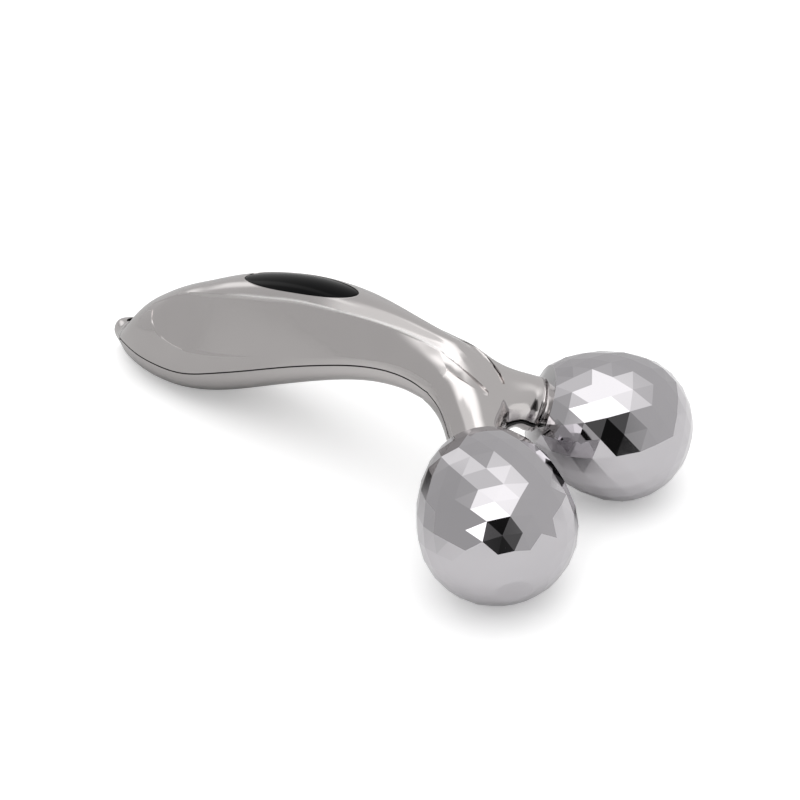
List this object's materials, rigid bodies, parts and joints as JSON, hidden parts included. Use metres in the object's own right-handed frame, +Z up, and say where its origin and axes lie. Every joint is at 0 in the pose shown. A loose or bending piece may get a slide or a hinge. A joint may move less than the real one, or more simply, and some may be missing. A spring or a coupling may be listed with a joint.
{
  "type": "roller face massager",
  "caption": "Y-shaped hand roller for the face: a chromed arched handle with an oval solar window on its back and a faceted drop-shaped ball spinning freely on each fork arm.",
  "frame": {"origin": "middle of the bounding box at the floor the massager lies on", "axes": "+X from the tail to the balls along the longest extent, +Y to the left ball, +Z up, away from the floor"},
  "size_m": [0.2361, 0.1185, 0.064],
  "materials": {
    "handle_chrome": "bright chrome plating on moulded ABS",
    "ball_chrome": "bright chrome plating on faceted ABS",
    "collar_chrome": "bright chrome plating",
    "smoked_window": "polished smoked acrylic",
    "gasket_rubber": "moulded silicone",
    "cell_silicon": "glossy laminate",
    "board_laminate": "solder mask",
    "chip_epoxy": "moulded epoxy",
    "can_aluminium": "drawn can",
    "lead_sleeve": "soft sleeve",
    "screw_steel": "zinc plated",
    "yoke_metal": "die cast",
    "axle_steel": "ground",
    "washer_polymer": "natural",
    "bush_polymer": "natural",
    "sleeve_aluminium": "drawn tube"
  },
  "bodies": {
    "handle": {"upper_cover": "handle_chrome", "lower_cover": "handle_chrome", "solar_window": "smoked_window", "window_gasket": "gasket_rubber", "solar_cell": "cell_silicon", "circuit_board": "board_laminate", "driver_chip": "chip_epoxy", "storage_capacitor": "can_aluminium", "cell_leads": "lead_sleeve", "yoke_lead": "lead_sleeve", "board_screws": "screw_steel", "case_screws": "screw_steel", "axle_yoke": "yoke_metal", "tail_nub": "handle_chrome", "left_axle": "axle_steel", "left_inner_washer": "washer_polymer", "left_outer_washer": "washer_polymer", "left_retaining_clip": "screw_steel", "right_axle": "axle_steel", "right_inner_washer": "washer_polymer", "right_outer_washer": "washer_polymer", "right_retaining_clip": "screw_steel"},
    "left_ball": {"left_ball_nose_shell": "ball_chrome", "left_ball_heel_shell": "ball_chrome", "left_collar_ring": "collar_chrome", "left_bearing_sleeve": "sleeve_aluminium", "left_inner_bush": "bush_polymer", "left_outer_bush": "bush_polymer"},
    "right_ball": {"right_ball_nose_shell": "ball_chrome", "right_ball_heel_shell": "ball_chrome", "right_collar_ring": "collar_chrome", "right_bearing_sleeve": "sleeve_aluminium", "right_inner_bush": "bush_polymer", "right_outer_bush": "bush_polymer"}
  },
  "joints": [
    {"name": "left_ball_spin", "type": "hinge", "parent": "handle", "child": "left_ball", "pos_m": [0.09393, 0.035, 0.02479], "axis": [0.7081, 0.6115, -0.353], "continuous": true},
    {"name": "right_ball_spin", "type": "hinge", "parent": "handle", "child": "right_ball", "pos_m": [0.09393, -0.035, 0.02479], "axis": [0.7081, -0.6115, -0.353], "continuous": true}
  ]
}
